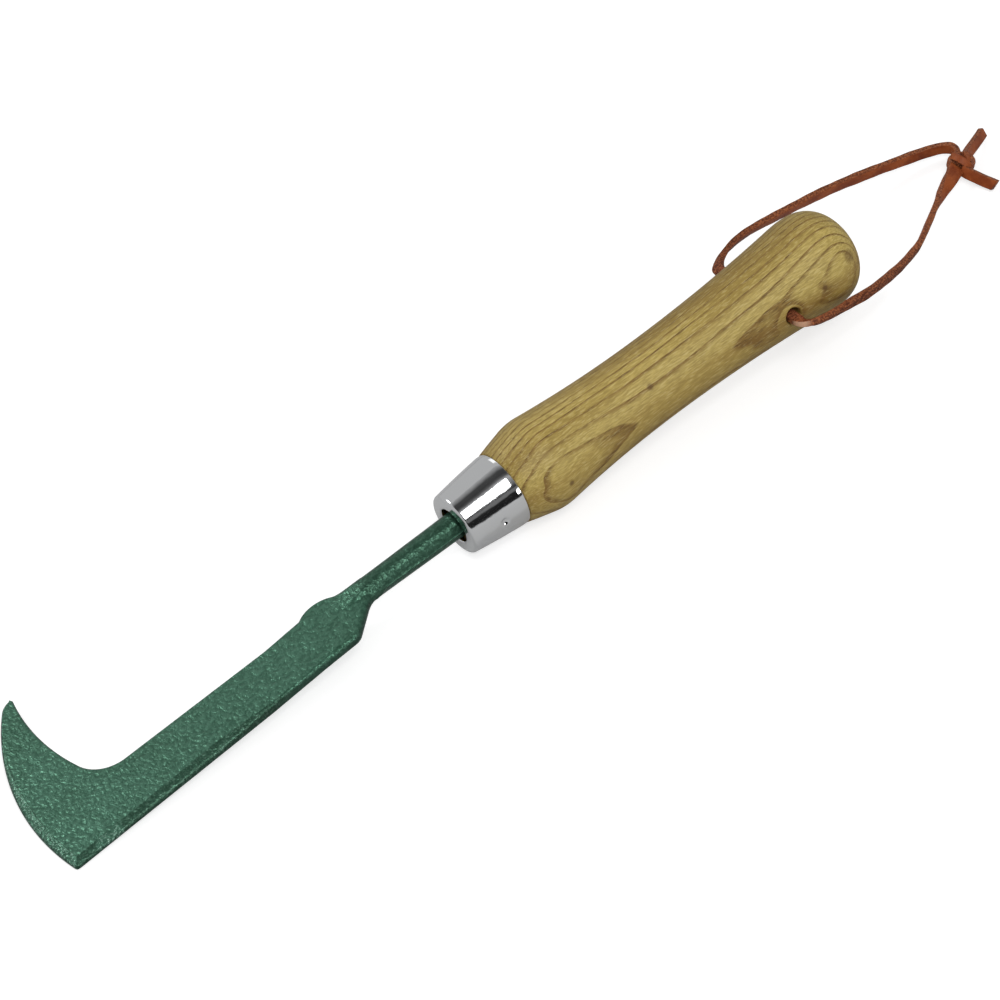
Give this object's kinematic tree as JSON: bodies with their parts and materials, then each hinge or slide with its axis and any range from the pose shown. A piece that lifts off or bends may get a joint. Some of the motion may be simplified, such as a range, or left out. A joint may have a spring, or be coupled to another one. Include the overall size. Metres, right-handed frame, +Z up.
{
  "type": "patio weeding knife",
  "caption": "Hooked weeding knife for paving joints: painted forged blade, bright ferrule, turned wooden handle and a knotted leather hanging lace.",
  "frame": {"origin": "middle of the knife's box without its lace, on the table that it rests on", "axes": "+X from the blade towards the butt of the handle, +Y across the blade towards the tip of the hook, +Z up from the table"},
  "size_m": [0.4267, 0.077, 0.0428],
  "materials": {
    "green_paint": "dark green hammered enamel, semi-gloss",
    "bright_metal": "bright plated, polished",
    "ash_wood": "turned and sanded, thin clear varnish",
    "brown_leather": "cut strip, smooth on one side and rough on the other"
  },
  "bodies": {
    "tool": {"blade": "green_paint", "ferrule": "bright_metal", "handle": "ash_wood"},
    "lanyard": {"lace_hole_run": "brown_leather", "lace_front_run": "brown_leather", "lace_back_run": "brown_leather", "lace_knot": "brown_leather", "lace_upper_tail": "brown_leather", "lace_lower_tail": "brown_leather"}
  },
  "joints": [
    {"name": "lanyard_swing", "type": "hinge", "parent": "tool", "child": "lanyard", "pos_m": [0.13485, -0.01575, 0.02387], "axis": [0, -1, 0], "range_deg": [-135, 165]}
  ]
}
